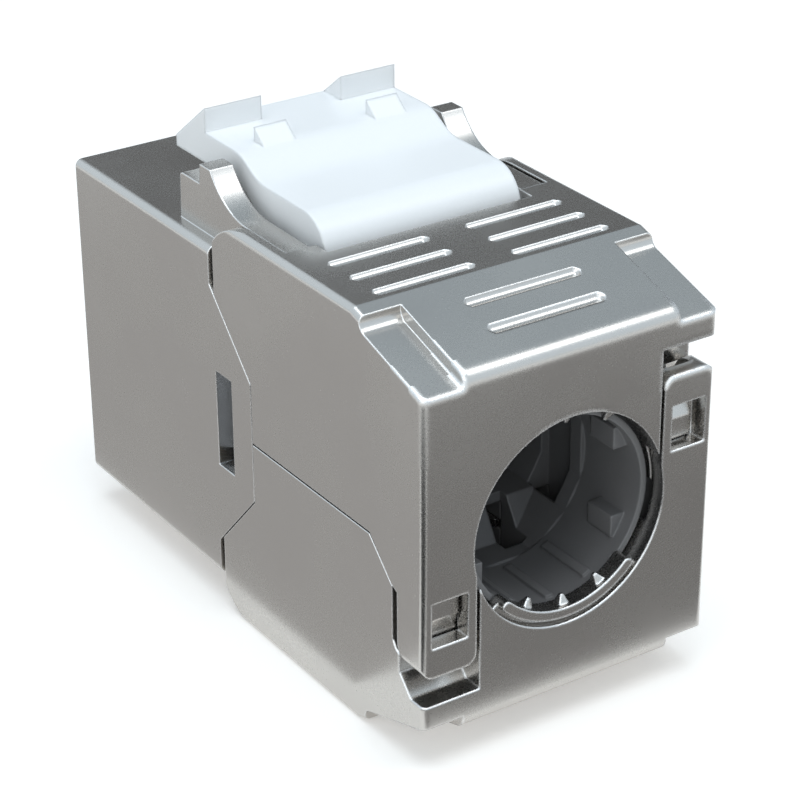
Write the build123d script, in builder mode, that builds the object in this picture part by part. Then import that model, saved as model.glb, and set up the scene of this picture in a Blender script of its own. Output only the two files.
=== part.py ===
from build123d import *
import math
import os

# A shielded, tool-free keystone jack, in millimetres.
# +X runs across the jack, +Y from the port to the cable entry, +Z up to the latch.
# The origin is on the floor, under the middle of the jack. "Station" is a distance
# behind the port face, and "up" is a height over the long axis through the port.

# Whole jack
overall_length = 28.4
body_width = 14.5
housing_height = 16.0
shell_height = 19.1
housing_length = 12.2
edge_round = 0.35
running_gap = 0.05
fit_gap = 0.1

# Port in the front housing
port_width = 11.85
port_height = 6.75
port_top_up = 3.9
clip_step_width = 6.4
clip_step_height = 1.5
clip_notch_width = 4.1
clip_notch_height = 1.35
clip_step_depth = 9.0
port_lip = 1.0
port_depth = 13.2

# Carrier behind the port block, which the shells close over
shell_skin = 0.65
carrier_length = 5.25
carrier_wall = 0.6
carrier_roof = 1.7
tongue_length = 3.2
tongue_root_up = 6.28
tongue_tip_up = 2.85
tongue_gap = 0.06
side_window_length = 1.34
side_window_height = 4.6
side_window_setback = 0.26

# Cheeks beside the latch
cheek_thickness = 1.15
cheek_station = 8.65
cheek_step_length = 1.75
cheek_step_up = 10.13
cheek_top_length = 0.95
cheek_top_up = 11.05
cheek_draft = 0.1
cheek_ramp_length = 2.9
cheek_ramp_middle = 0.62
cheek_round = 0.22
ear_lead = 1.2

# Latch
latch_side_gap = 0.42
latch_stand = 3.39
latch_plate_thickness = 1.42
latch_tip_station = 5.67
latch_tip_drop = 0.89
latch_reach = 10.63
latch_flat_length = 5.03
latch_arm_lead = 2.9
latch_arm_drop = 0.82
latch_bend_lead = 0.42
latch_bend_tail = 0.5
latch_arm_thickness = 1.62
latch_curl_radius = 1.68
latch_root_width = 2.6
latch_root_drop = 1.0
latch_root_bevel = 0.4
latch_heel_lean = 0.35
latch_pivot_drop = 0.69
latch_pin_radius = 0.65
latch_pin_reach = 1.2
panel_station = 8.25
panel_thickness = 2.05
latch_ear_rise = 1.11
latch_ear_inner = 2.05
latch_wedge_rise = 0.64
latch_wedge_length = 1.0
latch_wedge_width = 1.62

# Fixed catch under the port block
catch_front_length = 2.0
catch_rear_length = 1.3
catch_slope = 0.7

# Shells
shell_front_gap = 0.18
parting_gap = 0.1
hinge_back = 1.62
hinge_drop = 1.8
trunnion_radius = 0.75
trunnion_length = 0.95
hump_front_drop = 1.5
hump_length = 2.52
slope_length = 4.98
slope_drop = 1.53
rear_top_round = 0.65
shell_round = 0.3
roof_wall = 0.8
slope_wall = 1.5
rear_wall = 1.45
tab_wall = 0.75
core_wall = 0.6

# Opening at the front of each shell, undercut so it clears the cheeks as it turns
latch_opening_gap = 0.22
latch_opening_rear = 0.47
opening_undercut = 0.35

# Finger pockets on the slope of each shell
pocket_width = 1.97
pocket_depth = 0.55
pocket_setback = 0.58
pocket_round = 0.5

# Grooves on the shell's top
groove_length = 5.1
groove_column = 3.38
groove_rows = 3
groove_pitch = 1.62
groove_last_setback = 0.6
slope_groove_length = 5.9
slope_groove_rows = 2
slope_groove_first = 1.5
groove_radius = 0.3
groove_depth = 0.2
groove_end = 0.3

# Locking tab and the recess that takes the other shell's tab
tab_width = 2.6
tab_reach = 5.1
tab_depth = 1.87
tab_corner = 1.0
tab_end_round = 0.525
tab_slot = 0.35
tab_side_gap = 0.18
recess_step = 0.48
recess_step_rise = 0.9
recess_step_bend = 0.75
recess_ramp_drop = 0.46
flange_drop = 1.32
flange_lip = 0.93
window_width = 1.75
window_height = 2.08
window_up = 2.68
boss_height = 0.3
boss_slope = 0.75
web_rise = 1.65

# Cable entry
entry_overlap = 0.13
grip_step = 0.68
grip_wall = 0.45
grip_half_angle = 48.0
grip_setback = 0.05
grip_depth = 0.8
grip_web = 0.4
grip_end_round = 0.2
grip_tooth_angles = (-27.0, 0.0, 27.0)
grip_tooth_width = 0.55
grip_tooth_tip = 0.14
grip_tooth_height = 0.5
grip_tooth_setback = 0.55

# Inside
contact_count = 8
contact_pitch = 1.016
contact_width = 0.36
contact_thickness = 0.3
contact_run_up = 5.2
contact_nose_station = 2.6
contact_tip_station = 11.0
contact_tip_up = 1.75
contact_bend = 0.5
contact_stagger = 0.62
comb_slot_width = 0.52
comb_front_gap = 0.15
comb_back_length = 2.5
board_thickness = 1.0
solder_tail = 0.35
tail_hole_radius = 0.32
terminal_side = 1.8
terminal_row_up = 4.3
terminal_blade_length = 3.4
terminal_width = 1.7
terminal_thickness = 0.4
terminal_slot = 0.35
terminal_slot_depth = 1.9
terminal_slot_mouth = 0.9
terminal_tail_width = 0.4
block_base_length = 1.2
block_row_length = 2.6
block_row_height = 2.2
block_row_side = 0.4
wire_channel_width = 1.15
wire_channel_depth = 2.1
manager_front_wall = 1.0
manager_deep_up = 2.65
manager_row_wall_share = 0.06
manager_ramp_share = 0.17
manager_channel_share = 0.325
manager_trough_share = 0.46
manager_round = 0.4
trough_gap = 0.2
bore_side_inset = 0.23
bore_side_up_inset = 2.9
bore_chamfer_inset = 1.0
bore_chamfer_up_inset = 1.53
bore_chamfer_spread = 1.2
trough_wall = 0.28
rib_width = 0.4
rib_height = 0.12
side_block_length = 1.6
side_block_height = 1.0
side_block_depth = 0.45
shield_spring_thickness = 0.22
shield_spring_width = 3.6
shield_spring_lead = 1.0
shield_spring_rise = 1.8
shield_spring_crown = 1.4
shield_spring_bow = 0.45
shield_spring_tail = 0.68
shield_spring_tail_bend = 0.75
shield_spring_tail_flat = 0.4
shield_pocket_depth = 0.32

# Derived places
front_y = -overall_length / 2
axis_z = shell_height / 2
half_width = body_width / 2
shell_half = shell_height / 2
housing_half = housing_height / 2
shell_inner = half_width - shell_skin
carrier_half = shell_inner - fit_gap
cheek_outer = carrier_half
cheek_inner = cheek_outer - cheek_thickness
carrier_end = housing_length + carrier_length
shell_front = housing_length + shell_front_gap
tongue_tip = housing_length + tongue_length
shell_nose = tongue_tip + tongue_gap
hinge_station = shell_front + hinge_back
hinge_up = shell_half - hinge_drop
crease_station = overall_length - slope_length
slope_rate = slope_drop / slope_length
rear_top_up = shell_half - slope_drop
rear_inner = overall_length - rear_wall
tab_front = overall_length - tab_depth
recess_front = tab_front - tab_slot
tab_inner = half_width - tab_width
notch_inner = tab_inner - tab_side_gap
entry_radius = tab_inner + entry_overlap
grip_radius = entry_radius - grip_step
bore_radius = entry_radius - trough_gap - trough_wall
bore_side = bore_radius - bore_side_inset
bore_side_up = bore_radius - bore_side_up_inset
bore_chamfer_x = bore_radius - bore_chamfer_inset
bore_chamfer_up = bore_radius - bore_chamfer_up_inset
recess_step_up = tab_reach - recess_step_rise
recess_ramp_up = tab_reach + recess_ramp_drop
flange_up = tab_reach + flange_drop
core_rear = overall_length - tab_wall - fit_gap
core_side = shell_inner - fit_gap


def at(station, up):
    """A point of a side outline, drawn on the plane YZ."""
    return (front_y + station, axis_z + up)


def cross_plane(station):
    """A plane across the jack: its x is +X, its y is up from the axis. It faces the port."""
    return Plane(origin=(0, front_y + station, axis_z), x_dir=(1, 0, 0), z_dir=(0, -1, 0))


def level_plane(up):
    """A level plane over the jack: its x is +X and its y is the station."""
    return Plane(origin=(0, front_y, axis_z + up), x_dir=(1, 0, 0), z_dir=(0, 0, 1))


def pin_plane(station, up, offset):
    """A plane square to X, centred on an axle at the given station and height."""
    return Plane(
        origin=(offset, front_y + station, axis_z + up), x_dir=(0, 1, 0), z_dir=(1, 0, 0)
    )


def slope_up(station):
    """Height of the shell's outer slope at a station behind the crease."""
    return shell_half - slope_rate * (station - crease_station)


# Front housing: one casting with the port, the tongues, the cheeks and the catch
tongue_rate = (tongue_root_up - tongue_tip_up) / tongue_length
cheek_ramp_end = cheek_station + cheek_step_length + cheek_top_length + cheek_ramp_length
cavity_top_up = housing_half - carrier_roof
back_station = port_depth
latch_width = 2 * (cheek_inner - latch_side_gap)
latch_top_up = housing_half + latch_stand
latch_under_up = latch_top_up - latch_plate_thickness
latch_tip_up = latch_top_up - latch_tip_drop
latch_arm_up = latch_top_up - latch_arm_drop
latch_flat_end = latch_tip_station + latch_flat_length
latch_pivot_station = latch_tip_station + latch_reach
latch_arm_station = latch_pivot_station - latch_arm_lead
curl_center_up = latch_arm_up - latch_curl_radius
latch_pivot_up = curl_center_up - latch_pivot_drop
root_bottom = latch_pivot_up - latch_root_drop
seat_up = root_bottom - 2 * fit_gap
cheek_flat_up = shell_half - fit_gap

with BuildPart() as front_housing:
    with BuildSketch(cross_plane(0)):
        Rectangle(body_width, housing_height)
    extrude(amount=-housing_length)
    fillet(front_housing.edges().filter_by(Axis.Y), radius=edge_round)
    chamfer(front_housing.faces().sort_by(Axis.Y)[0].edges(), length=edge_round / 2)
    # carrier that runs on under the shells
    with BuildSketch(cross_plane(housing_length - fit_gap)):
        Rectangle(2 * carrier_half, housing_height)
    extrude(amount=-(carrier_length + fit_gap))
    # tongue on the right side, flush with the shells
    with BuildSketch(Plane.YZ.offset(carrier_half - fit_gap)):
        with BuildLine():
            Polyline(
                at(housing_length - edge_round, -tongue_root_up),
                at(housing_length, -tongue_root_up),
                at(tongue_tip, -tongue_tip_up),
                at(tongue_tip, tongue_tip_up),
                at(housing_length, tongue_root_up),
                at(housing_length - edge_round, tongue_root_up),
                close=True,
            )
        make_face()
    extrude(amount=half_width - carrier_half + fit_gap)
    # cheek on the right side: a stepped post and a hollow ramp
    with BuildSketch(Plane.YZ.offset(cheek_inner)) as cheek_outline:
        with BuildLine():
            post_top = cheek_station + cheek_step_length
            ramp_start = post_top + cheek_top_length
            front = Polyline(
                at(carrier_end, cheek_flat_up),
                at(carrier_end, seat_up - fit_gap),
                at(cheek_station, seat_up - fit_gap),
                at(cheek_station, housing_half),
                at(cheek_station + cheek_draft, cheek_step_up),
                at(post_top, cheek_step_up),
                at(post_top + cheek_draft, cheek_top_up),
                at(ramp_start, cheek_top_up),
            )
            ramp_rise = cheek_top_up - cheek_flat_up
            ramp_radius = (cheek_ramp_length**2 + ramp_rise**2) / (2 * ramp_rise)
            ramp_middle = cheek_ramp_length * cheek_ramp_middle
            ramp_sag = ramp_radius - math.sqrt(ramp_radius**2 - (cheek_ramp_length - ramp_middle) ** 2)
            ThreePointArc(
                at(ramp_start, cheek_top_up),
                at(ramp_start + ramp_middle, cheek_flat_up + ramp_sag),
                at(cheek_ramp_end, cheek_flat_up),
            )
            Line(at(cheek_ramp_end, cheek_flat_up), at(carrier_end, cheek_flat_up))
        make_face()
        top_points = cheek_outline.vertices().filter_by_position(
            Axis.Y, axis_z + cheek_step_up - fit_gap, axis_z + cheek_top_up + fit_gap
        )
        fillet(top_points.sort_by(Axis.X)[0], radius=cheek_round)
        fillet(top_points.sort_by(Axis.X)[2:], radius=cheek_round)
    extrude(amount=cheek_outer - cheek_inner)
    # ear on the right side of the underside, for the lower shell's hinge
    with BuildSketch(Plane.YZ.offset(cheek_inner)):
        with BuildLine():
            Polyline(
                at(shell_front - ear_lead, -housing_half + fit_gap),
                at(shell_front + hump_front_drop / 2, -cheek_flat_up),
                at(carrier_end, -cheek_flat_up),
                at(carrier_end, -housing_half + fit_gap),
                close=True,
            )
        make_face()
    extrude(amount=cheek_outer - cheek_inner)
    mirror(about=Plane.YZ)
    # fixed catch: two ribs that hold the panel's lower edge between them
    with BuildSketch(Plane.YZ):
        with BuildLine():
            Polyline(
                at(panel_station - catch_front_length, -housing_half + fit_gap),
                at(panel_station - catch_front_length, -housing_half),
                at(panel_station - catch_front_length + catch_slope, -shell_half),
                at(panel_station, -shell_half),
                at(panel_station, -housing_half + fit_gap),
                close=True,
            )
        make_face()
        with BuildLine():
            rib_front = panel_station + panel_thickness
            Polyline(
                at(rib_front, -housing_half + fit_gap),
                at(rib_front, -shell_half),
                at(rib_front + catch_rear_length - catch_slope, -shell_half),
                at(rib_front + catch_rear_length, -housing_half),
                at(rib_front + catch_rear_length, -housing_half + fit_gap),
                close=True,
            )
        make_face()
    extrude(amount=latch_width / 2, both=True)
    # port opening with the two steps for the plug's clip
    with BuildSketch(cross_plane(0)):
        with Locations((0, port_top_up)):
            Rectangle(port_width, port_height, align=(Align.CENTER, Align.MAX))
    extrude(amount=-carrier_end, mode=Mode.SUBTRACT)
    with BuildSketch(cross_plane(0)):
        with Locations((0, port_top_up - port_height + fit_gap)):
            Rectangle(clip_step_width, clip_step_height + fit_gap, align=(Align.CENTER, Align.MAX))
        with Locations((0, port_top_up - port_height - clip_step_height + fit_gap)):
            Rectangle(clip_notch_width, clip_notch_height + fit_gap, align=(Align.CENTER, Align.MAX))
    extrude(amount=-clip_step_depth, mode=Mode.SUBTRACT)
    # channel over the port for the comb, and the pocket behind it
    with BuildSketch(cross_plane(port_lip)):
        with Locations((0, cavity_top_up)):
            Rectangle(
                port_width - 2 * fit_gap,
                cavity_top_up - port_top_up + fit_gap,
                align=(Align.CENTER, Align.MAX),
            )
    extrude(amount=-(carrier_end - port_lip), mode=Mode.SUBTRACT)
    with BuildSketch(cross_plane(back_station)):
        Rectangle(2 * (carrier_half - carrier_wall), 2 * cavity_top_up)
    extrude(amount=-(carrier_end - back_station), mode=Mode.SUBTRACT)
    # side windows and the shallow pockets for the shield springs
    with BuildSketch(Plane.YZ):
        with Locations(
            at(housing_length + side_window_setback + side_window_length / 2, 0)
        ):
            Rectangle(side_window_length, side_window_height)
    extrude(amount=half_width + fit_gap, both=True, mode=Mode.SUBTRACT)
    with BuildSketch(Plane.YZ):
        with Locations(at((port_lip + back_station) / 2, 0)):
            Rectangle(back_station - port_lip, shield_spring_width + 2 * fit_gap)
    extrude(amount=port_width / 2 + shield_pocket_depth, both=True, mode=Mode.SUBTRACT)
    # seat of the latch's root, and the bores for the latch and the shells
    with BuildSketch(level_plane(seat_up)):
        with Locations((0, latch_pivot_station - latch_root_width / 2 - fit_gap)):
            Rectangle(
                2 * cheek_inner,
                carrier_end - latch_pivot_station + latch_root_width,
                align=(Align.CENTER, Align.MIN),
            )
    extrude(amount=shell_half, mode=Mode.SUBTRACT)
    with BuildSketch(pin_plane(latch_pivot_station, latch_pivot_up, 0)):
        Circle(latch_pin_radius + running_gap)
    extrude(
        amount=latch_width / 2 + latch_pin_reach + fit_gap, both=True, mode=Mode.SUBTRACT
    )
    for side in (-1, 1):
        for up in (-hinge_up, hinge_up):
            with BuildSketch(pin_plane(hinge_station, up, side * cheek_outer)):
                Circle(trunnion_radius + running_gap)
            extrude(amount=-side * (trunnion_length + fit_gap), mode=Mode.SUBTRACT)
front_housing.part.label = "front_housing"

# Latch: a sprung plate with two ears and two wedges that hold the panel between them
with BuildPart() as keystone_latch:
    with BuildSketch(Plane.YZ):
        with BuildLine():
            latch_ear_up = latch_top_up + latch_ear_rise
            slope_rise = (latch_ear_up - latch_tip_up) / (panel_station - latch_tip_station)
            slope_end = latch_tip_station + (latch_top_up - latch_tip_up) / slope_rise
            arm_under = latch_arm_up - latch_arm_thickness
            sweep = latch_arm_station - latch_flat_end
            curl_rear = latch_pivot_station + latch_curl_radius
            root_front = latch_pivot_station - latch_root_width / 2 + 2 * fit_gap
            Polyline(
                at(latch_flat_end, latch_under_up),
                at(latch_tip_station, latch_under_up),
                at(latch_tip_station, latch_tip_up),
                at(slope_end, latch_top_up),
                at(latch_flat_end, latch_top_up),
            )
            Bezier(
                at(latch_flat_end, latch_top_up),
                at(latch_flat_end + sweep * latch_bend_lead, latch_top_up),
                at(latch_arm_station - sweep * latch_bend_tail, latch_arm_up),
                at(latch_arm_station, latch_arm_up),
            )
            Line(at(latch_arm_station, latch_arm_up), at(latch_pivot_station, latch_arm_up))
            RadiusArc(
                at(latch_pivot_station, latch_arm_up),
                at(curl_rear, curl_center_up),
                latch_curl_radius,
            )
            Polyline(
                at(curl_rear, curl_center_up),
                at(curl_rear - latch_heel_lean, root_bottom + latch_root_bevel),
                at(curl_rear - latch_heel_lean - latch_root_bevel, root_bottom),
                at(root_front + latch_root_bevel, root_bottom),
                at(root_front, root_bottom + latch_root_bevel),
                at(root_front, arm_under - latch_root_bevel),
                at(root_front - latch_root_bevel, arm_under),
                at(latch_arm_station, arm_under),
            )
            Bezier(
                at(latch_arm_station, arm_under),
                at(latch_arm_station - sweep * latch_bend_tail, arm_under),
                at(latch_flat_end + sweep * latch_bend_lead, latch_under_up),
                at(latch_flat_end, latch_under_up),
            )
        make_face()
    extrude(amount=latch_width / 2, both=True)
    ear_width = latch_width / 2 - latch_ear_inner
    with BuildSketch(Plane.YZ.offset(latch_ear_inner)):
        with BuildLine():
            Polyline(
                at(slope_end, latch_top_up),
                at(panel_station, latch_ear_up),
                at(panel_station, latch_top_up - fit_gap),
                at(slope_end, latch_top_up - fit_gap),
                close=True,
            )
        make_face()
    extrude(amount=ear_width)
    with BuildSketch(Plane.YZ.offset(latch_ear_inner)):
        with BuildLine():
            wedge_front = panel_station + panel_thickness
            Polyline(
                at(wedge_front, latch_arm_up),
                at(wedge_front, latch_top_up + latch_wedge_rise),
                at(wedge_front + latch_wedge_length, latch_top_up - 2 * fit_gap),
                at(wedge_front + latch_wedge_length, latch_arm_up),
                close=True,
            )
        make_face()
    extrude(amount=latch_wedge_width)
    mirror(about=Plane.YZ)
    with BuildSketch(pin_plane(latch_pivot_station, latch_pivot_up, 0)):
        Circle(latch_pin_radius)
    extrude(amount=latch_width / 2 + latch_pin_reach, both=True)
keystone_latch.part.label = "keystone_latch"


def groove_cutter(length):
    """A round bar along X, with tapered ends, that cuts a groove of the given length."""
    with BuildPart(mode=Mode.PRIVATE) as cutter:
        with BuildSketch(Plane.XY):
            with BuildLine():
                Polyline(
                    (-length / 2, 0),
                    (-length / 2 + groove_end, -groove_radius),
                    (length / 2 - groove_end, -groove_radius),
                    (length / 2, 0),
                    close=True,
                )
            make_face()
        revolve(axis=Axis.X)
    return cutter.part


# Inside of a shell: its plan with a narrow corner behind the recess, under its roof
with BuildPart() as shell_cavity:
    with BuildSketch(Plane.YZ):
        with BuildLine():
            slope_start = crease_station - slope_wall + roof_wall
            slope_end_up = slope_up(rear_inner) - slope_wall
            Polyline(
                at(shell_front - 2 * edge_round, -shell_half),
                at(shell_front - 2 * edge_round, shell_half - roof_wall),
                at(slope_start, shell_half - roof_wall),
                at(rear_inner, slope_end_up),
                at(overall_length, slope_end_up),
                at(overall_length, -shell_half),
                close=True,
            )
        make_face()
    extrude(amount=shell_inner, both=True)
    with BuildSketch(level_plane(0)):
        with BuildLine():
            Polyline(
                (-shell_inner, shell_front - 2 * edge_round),
                (shell_inner, shell_front - 2 * edge_round),
                (shell_inner, overall_length - tab_wall),
                (notch_inner, overall_length - tab_wall),
                (notch_inner, rear_inner),
                (-(core_side - core_wall), rear_inner),
                (-(core_side - core_wall), recess_front - core_wall),
                (-shell_inner, recess_front - core_wall),
                close=True,
            )
        make_face()
    extrude(amount=shell_half, both=True, mode=Mode.INTERSECT)
    # the corner behind the recess's ramp stays full
    with BuildSketch(cross_plane(recess_front - core_wall)):
        with Locations((core_wall - notch_inner, recess_step_up - core_wall)):
            Rectangle(half_width, shell_half, align=(Align.MAX, Align.MIN))
    extrude(amount=-tab_depth, mode=Mode.SUBTRACT)

# Heights where a shell meets the tongues and the other shell
tongue_lift = tongue_gap * math.sqrt(1 + tongue_rate**2)
shell_corner_up = tongue_tip_up + tongue_rate * (tongue_tip - shell_front) + tongue_lift
shell_nose_up = tongue_tip_up + tongue_rate * (tongue_tip - shell_nose) + tongue_lift
parting_up = parting_gap / 2

# Tab that reaches past the parting line on the right side
with BuildPart() as locking_tab:
    with BuildSketch(Plane.YZ.offset(tab_inner)) as tab_outline:
        with BuildLine():
            Polyline(
                at(overall_length, 2 * parting_up),
                at(overall_length, -tab_reach),
                at(tab_front, -tab_reach),
                at(tab_front, -web_rise - tab_slot / 2),
                at(recess_front, -web_rise),
                at(recess_front - web_rise, 2 * parting_up),
                close=True,
            )
        make_face()
        fillet(
            tab_outline.vertices().group_by(Axis.Y)[0].sort_by(Axis.X)[0],
            radius=tab_corner,
        )
    extrude(amount=tab_width)
    with BuildSketch(cross_plane(overall_length)) as tab_face:
        with Locations((half_width, 2 * parting_up)):
            Rectangle(tab_width, tab_reach + 2 * parting_up, align=(Align.MAX, Align.MAX))
        fillet(tab_face.vertices().group_by(Axis.Y)[0], radius=tab_end_round)
    extrude(amount=overall_length, mode=Mode.INTERSECT)
    with BuildSketch(level_plane(0)) as tab_plan:
        with Locations((half_width, overall_length)):
            Rectangle(tab_width, overall_length, align=(Align.MAX, Align.MAX))
        fillet(
            tab_plan.vertices().group_by(Axis.X)[-1].sort_by(Axis.Y)[-1],
            radius=shell_round,
        )
    extrude(amount=shell_half, both=True, mode=Mode.INTERSECT)

# Casting that both shells are made from; the lower one is turned half a turn
with BuildPart() as shell_casting:
    with BuildSketch(Plane.YZ) as hood_outline:
        with BuildLine():
            Polyline(
                at(shell_front, shell_half),
                at(shell_front, shell_corner_up),
                at(shell_nose, shell_nose_up),
                at(shell_nose, parting_up),
                at(overall_length, parting_up),
                at(overall_length, rear_top_up),
                at(crease_station, shell_half),
                close=True,
            )
        make_face()
        fillet(
            hood_outline.vertices().group_by(Axis.X)[-1].sort_by(Axis.Y)[-1],
            radius=rear_top_round,
        )
    extrude(amount=half_width, both=True)
    # soft outer edges along both sides of the roof and down the rear corners
    roof_edges = shell_casting.edges().filter_by(
        lambda e: abs(abs(e.center().X) - half_width) < fit_gap
        and e.center().Z > axis_z + hinge_up
    )
    fillet(roof_edges, radius=shell_round)
    # rounded hump at the front of the roof
    with BuildSketch(Plane.YZ):
        with BuildLine():
            hump_rear = shell_front + hump_length
            hump_radius = (hump_length**2 + hump_front_drop**2) / (2 * hump_front_drop)
            RadiusArc(
                at(hump_rear, shell_half),
                at(shell_front, shell_half - hump_front_drop),
                -hump_radius,
            )
            Polyline(
                at(shell_front, shell_half - hump_front_drop),
                at(shell_front - fit_gap, shell_half - hump_front_drop),
                at(shell_front - fit_gap, shell_half + fit_gap),
                at(hump_rear, shell_half + fit_gap),
                at(hump_rear, shell_half),
            )
        make_face()
    extrude(amount=half_width, both=True, mode=Mode.SUBTRACT)
    add(locking_tab.part)
    add(shell_cavity.part, mode=Mode.SUBTRACT)
    # recess on the left side for the other shell's tab, with a core wall inside it
    with BuildSketch(Plane.YZ.offset(-half_width - fit_gap)):
        with BuildLine():
            Polyline(
                at(overall_length + fit_gap, 0),
                at(recess_front - web_rise - fit_gap / 2, 0),
                at(recess_front, web_rise + fit_gap / 2),
                at(recess_front, recess_step_up),
                at(overall_length + fit_gap, recess_step_up),
                close=True,
            )
        make_face()
    extrude(amount=half_width - core_side + fit_gap, mode=Mode.SUBTRACT)
    with BuildSketch(cross_plane(overall_length + fit_gap)):
        with Locations((-half_width - fit_gap, 0)):
            Rectangle(
                half_width - notch_inner + fit_gap,
                flange_up,
                align=(Align.MIN, Align.MIN),
            )
    extrude(amount=overall_length + fit_gap - core_rear, mode=Mode.SUBTRACT)
    # ramp past the end of the tab, as wide as the tab
    with BuildSketch(Plane.YZ.offset(-half_width - fit_gap)):
        with BuildLine():
            Polyline(
                at(recess_front, recess_step_up),
                at(recess_front + recess_step / 2, recess_step_up + recess_step * recess_step_bend),
                at(recess_front + recess_step, recess_step_up + recess_step),
                at(recess_front + recess_step, recess_ramp_up),
                at(overall_length - flange_lip, flange_up),
                at(overall_length + fit_gap, flange_up),
                at(overall_length + fit_gap, recess_step_up),
                close=True,
            )
        make_face()
    extrude(amount=half_width - notch_inner + fit_gap, mode=Mode.SUBTRACT)
    # openings at the front for the cheeks and for the latch
    with BuildSketch(level_plane(housing_half - fit_gap)):
        Rectangle(
            2 * shell_inner, carrier_end + fit_gap, align=(Align.CENTER, Align.MIN)
        )
        Rectangle(
            latch_width + 2 * latch_opening_gap,
            latch_pivot_station + latch_curl_radius + latch_opening_rear,
            align=(Align.CENTER, Align.MIN),
        )
    extrude(amount=shell_half, mode=Mode.SUBTRACT)
    with BuildSketch(Plane.YZ):
        with BuildLine():
            undercut_drop = roof_wall + fit_gap
            Polyline(
                at(carrier_end, shell_half),
                at(carrier_end + fit_gap, shell_half),
                at(carrier_end + fit_gap + opening_undercut, shell_half - undercut_drop),
                at(carrier_end, shell_half - undercut_drop),
                close=True,
            )
        make_face()
    extrude(amount=shell_inner, both=True, mode=Mode.SUBTRACT)
    # finger pockets at both sides of the slope
    pocket_inner = half_width - pocket_width
    with BuildSketch(Plane.YZ.offset(pocket_inner)) as pocket_outline:
        with BuildLine():
            pocket_front = crease_station + pocket_setback
            pocket_rear = overall_length + pocket_depth
            Polyline(
                at(pocket_front, shell_half + pocket_depth),
                at(pocket_front, slope_up(pocket_front) - pocket_depth),
                at(pocket_rear, slope_up(pocket_rear) - pocket_depth),
                at(pocket_rear, shell_half + pocket_depth),
                close=True,
            )
        make_face()
        fillet(
            pocket_outline.vertices().group_by(Axis.X)[0].sort_by(Axis.Y)[0],
            radius=pocket_round,
        )
    extrude(amount=half_width, mode=Mode.SUBTRACT)
    with BuildSketch(Plane.YZ.offset(-pocket_inner)):
        add(pocket_outline.sketch_local)
    extrude(amount=-half_width, mode=Mode.SUBTRACT)
    # grooves on the flat top and on the slope
    row_stations = [
        crease_station - groove_last_setback - row * groove_pitch for row in range(groove_rows)
    ]
    groove_lift = groove_radius - groove_depth
    for row_station in row_stations:
        for column in (-groove_column, groove_column):
            place = Location((column, front_y + row_station, axis_z + shell_half + groove_lift))
            add(groove_cutter(groove_length).moved(place), mode=Mode.SUBTRACT)
    for row in range(slope_groove_rows):
        row_station = crease_station + slope_groove_first + row * groove_pitch
        place = Location((0, front_y + row_station, axis_z + slope_up(row_station) + groove_lift))
        add(groove_cutter(slope_groove_length).moved(place), mode=Mode.SUBTRACT)
    # window in the tab
    with BuildSketch(cross_plane(overall_length + fit_gap)):
        with Locations((tab_inner + tab_width / 2, -window_up)):
            Rectangle(window_width, window_height)
    extrude(amount=tab_wall + 2 * fit_gap, mode=Mode.SUBTRACT)
    # half of the cable entry
    with BuildSketch(cross_plane(overall_length + fit_gap)):
        Circle(entry_radius)
    extrude(amount=rear_wall + 3 * fit_gap, mode=Mode.SUBTRACT)
    # snap boss behind the other tab's window, ramped where the window's bar passes
    with BuildSketch(Plane.YZ.offset(-core_side)):
        with BuildLine():
            boss_low = window_up - window_height / 2 + 2 * fit_gap
            boss_high = window_up + window_height / 2 - 2 * fit_gap
            Polyline(
                at(core_rear - fit_gap, boss_low),
                at(core_rear + boss_height, boss_low),
                at(core_rear + boss_height, boss_high - boss_slope),
                at(core_rear, boss_high),
                at(core_rear - fit_gap, boss_high),
                close=True,
            )
        make_face()
    extrude(amount=core_side - tab_inner - tab_width / 2 + window_width / 2 - fit_gap)
    # trunnions that turn in the housing's cheeks and ears
    for side in (-1, 1):
        with BuildSketch(pin_plane(hinge_station, hinge_up, side * (shell_inner + fit_gap))):
            Circle(trunnion_radius)
        extrude(amount=-side * (trunnion_length + fit_gap))


def grip_sector(inner, outer, corner_round):
    """A ring's upper sector, as wide as the grip, with its corners rounded."""
    reach = 2 * entry_radius
    side = reach * math.sin(math.radians(grip_half_angle))
    rise = reach * math.cos(math.radians(grip_half_angle))
    with BuildSketch(mode=Mode.PRIVATE) as sector:
        Circle(outer)
        Circle(inner, mode=Mode.SUBTRACT)
        with BuildLine():
            Polyline((0, 0), (side, rise), (0, 2 * reach), (-side, rise), close=True)
        make_face(mode=Mode.INTERSECT)
        fillet(sector.vertices(), radius=corner_round)
    return sector.sketch


def grip_tooth(angle, foot_radius, height):
    """A pointed tooth that stands on the given radius, at an angle from straight up."""
    lean = math.radians(angle)
    tooth_plane = Plane(
        origin=(
            foot_radius * math.sin(lean),
            front_y + overall_length - grip_tooth_setback,
            axis_z + foot_radius * math.cos(lean),
        ),
        x_dir=(0, 1, 0),
        z_dir=(-math.sin(lean), 0, -math.cos(lean)),
    )
    taper = math.degrees(math.atan((grip_tooth_width - grip_tooth_tip) / 2 / height))
    with BuildPart(mode=Mode.PRIVATE) as tooth:
        with BuildSketch(tooth_plane):
            Rectangle(grip_tooth_width, grip_tooth_width)
        extrude(amount=height, taper=taper)
    return tooth.part


# Upper shell: teeth on the wall of the cable entry
with BuildPart() as upper_shell:
    add(shell_casting.part)
    for tooth_angle in grip_tooth_angles:
        add(grip_tooth(tooth_angle, entry_radius + fit_gap, grip_tooth_height + fit_gap))
upper_shell.part.label = "upper_shell"

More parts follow.
